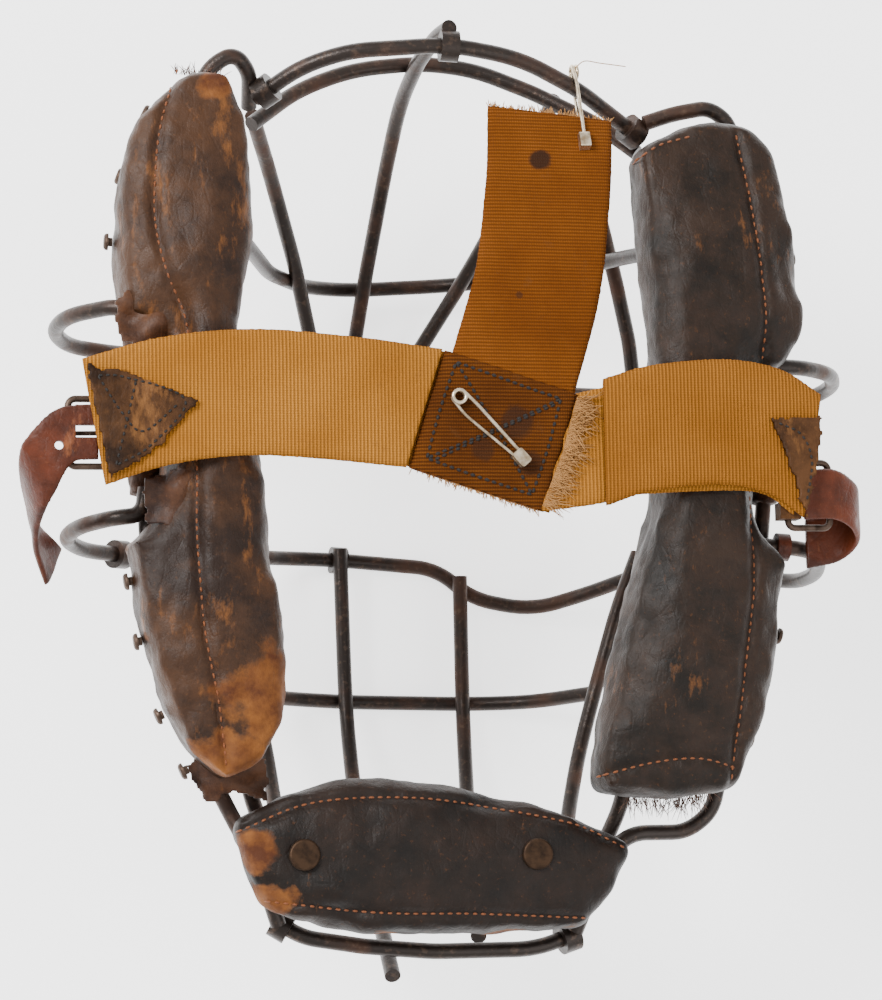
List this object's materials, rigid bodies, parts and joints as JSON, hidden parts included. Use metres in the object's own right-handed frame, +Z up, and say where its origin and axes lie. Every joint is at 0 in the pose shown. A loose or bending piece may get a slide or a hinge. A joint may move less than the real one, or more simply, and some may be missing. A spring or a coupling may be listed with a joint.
{
  "type": "catchers mask",
  "caption": "Open-vision wire cage mask with leather pads and an elastic head harness that guards a catcher's face.",
  "frame": {"origin": "middle of the mask outline on the surface it lies on, cage down", "axes": "+Z up towards the wearer, +Y towards the forehead, +X towards the wearer's right"},
  "size_m": [0.2597, 0.2873, 0.138],
  "materials": {
    "cage_iron": "aged dark iron, rusty",
    "left_pad_leather": "worn, cracked",
    "right_pad_leather": "worn, creased",
    "chin_pad_leather": "worn, cracked",
    "horsehair": "matted fibre",
    "wrap_leather": "worn",
    "stud_metal": "dark",
    "rivet_metal": "tarnished",
    "band_webbing": "ribbed elastic",
    "strap_webbing": "ribbed elastic",
    "tab_leather": "worn",
    "buckle_wire": "tarnished",
    "billet_leather": "red-brown, cracked",
    "pin_metal": "dull nickel plate"
  },
  "bodies": {
    "mask": {"brow_arc": "cage_iron", "brow_bar": "cage_iron", "centre_upper_bar": "cage_iron", "chin_pad_cover": "chin_pad_leather", "chin_pad_stuffing": "horsehair", "chin_rim": "cage_iron", "chin_rivets": "rivet_metal", "eye_bar": "cage_iron", "left_band": "band_webbing", "left_buckle_loop": "tab_leather", "left_jaw_bar": "cage_iron", "left_jaw_strut": "cage_iron", "left_lower_bar": "cage_iron", "left_pad_cover": "left_pad_leather", "left_pad_studs": "stud_metal", "left_pad_stuffing": "horsehair", "left_rim_wrap": "wrap_leather", "left_side_frame": "cage_iron", "left_tab": "tab_leather", "left_upper_bar": "cage_iron", "lower_cross_bar": "cage_iron", "mouth_bar": "cage_iron", "outer_upper_bar": "cage_iron", "right_band": "band_webbing", "right_band_return": "band_webbing", "right_billet": "billet_leather", "right_billet_keeper": "billet_leather", "right_buckle_loop": "tab_leather", "right_jaw_bar": "cage_iron", "right_jaw_strut": "cage_iron", "right_lower_bar": "cage_iron", "right_pad_cover": "right_pad_leather", "right_pad_studs": "stud_metal", "right_pad_stuffing": "horsehair", "right_rim_wrap": "wrap_leather", "right_side_frame": "cage_iron", "right_tab": "tab_leather", "right_upper_bar": "cage_iron", "rim_pin_body": "pin_metal", "rod_end_wraps": "cage_iron", "top_rim": "cage_iron", "top_strap": "strap_webbing"},
    "harness": {"crossing_patch": "strap_webbing", "patch_pin_body": "pin_metal"},
    "rim_pin_needle": {"rim_pin_needle": "pin_metal"},
    "patch_pin_needle": {"patch_pin_needle": "pin_metal"},
    "left_buckle": {"left_buckle_frame": "buckle_wire"},
    "left_tongue": {"left_buckle_tongue": "buckle_wire"},
    "left_billet": {"left_billet": "billet_leather"},
    "right_buckle": {"right_buckle_frame": "buckle_wire"},
    "right_tongue": {"right_buckle_tongue": "buckle_wire"}
  },
  "joints": [
    {"name": "harness_pull", "type": "slide", "parent": "mask", "child": "harness", "axis": [0, 0, 1], "range_m": [0, 0.07], "stiffness_N_per_m": 60, "deforming": ["left_band", "right_band", "right_band_return", "top_strap"]},
    {"name": "rim_pin_open", "type": "hinge", "parent": "mask", "child": "rim_pin_needle", "pos_m": [0.0389, 0.1311, 0.109], "axis": [0.9991, 0.042, 0], "range_deg": [0, 35]},
    {"name": "patch_pin_open", "type": "hinge", "parent": "harness", "child": "patch_pin_needle", "pos_m": [-0.0031, 0.0267, 0.1325], "axis": [0, 0, -1], "range_deg": [0, 35]},
    {"name": "left_buckle_swing", "type": "hinge", "parent": "mask", "child": "left_buckle", "pos_m": [-0.1041, 0.0157, 0.1283], "axis": [0, -1, 0], "range_deg": [0, 5]},
    {"name": "left_tongue_swing", "type": "hinge", "parent": "left_buckle", "child": "left_tongue", "pos_m": [-0.1041, 0.0157, 0.1283], "axis": [0, -1, 0], "range_deg": [0, 60]},
    {"name": "left_billet_bend", "type": "hinge", "parent": "left_buckle", "child": "left_billet", "pos_m": [-0.1171, 0.0157, 0.1283], "axis": [0, 1, 0], "range_deg": [0, 22]},
    {"name": "right_buckle_swing", "type": "hinge", "parent": "mask", "child": "right_buckle", "pos_m": [0.0969, -0.0018, 0.1283], "axis": [0, 1, 0], "range_deg": [0, 20]},
    {"name": "right_tongue_swing", "type": "hinge", "parent": "right_buckle", "child": "right_tongue", "pos_m": [0.0969, -0.0018, 0.1283], "axis": [0, 1, 0], "range_deg": [0, 60]}
  ]
}
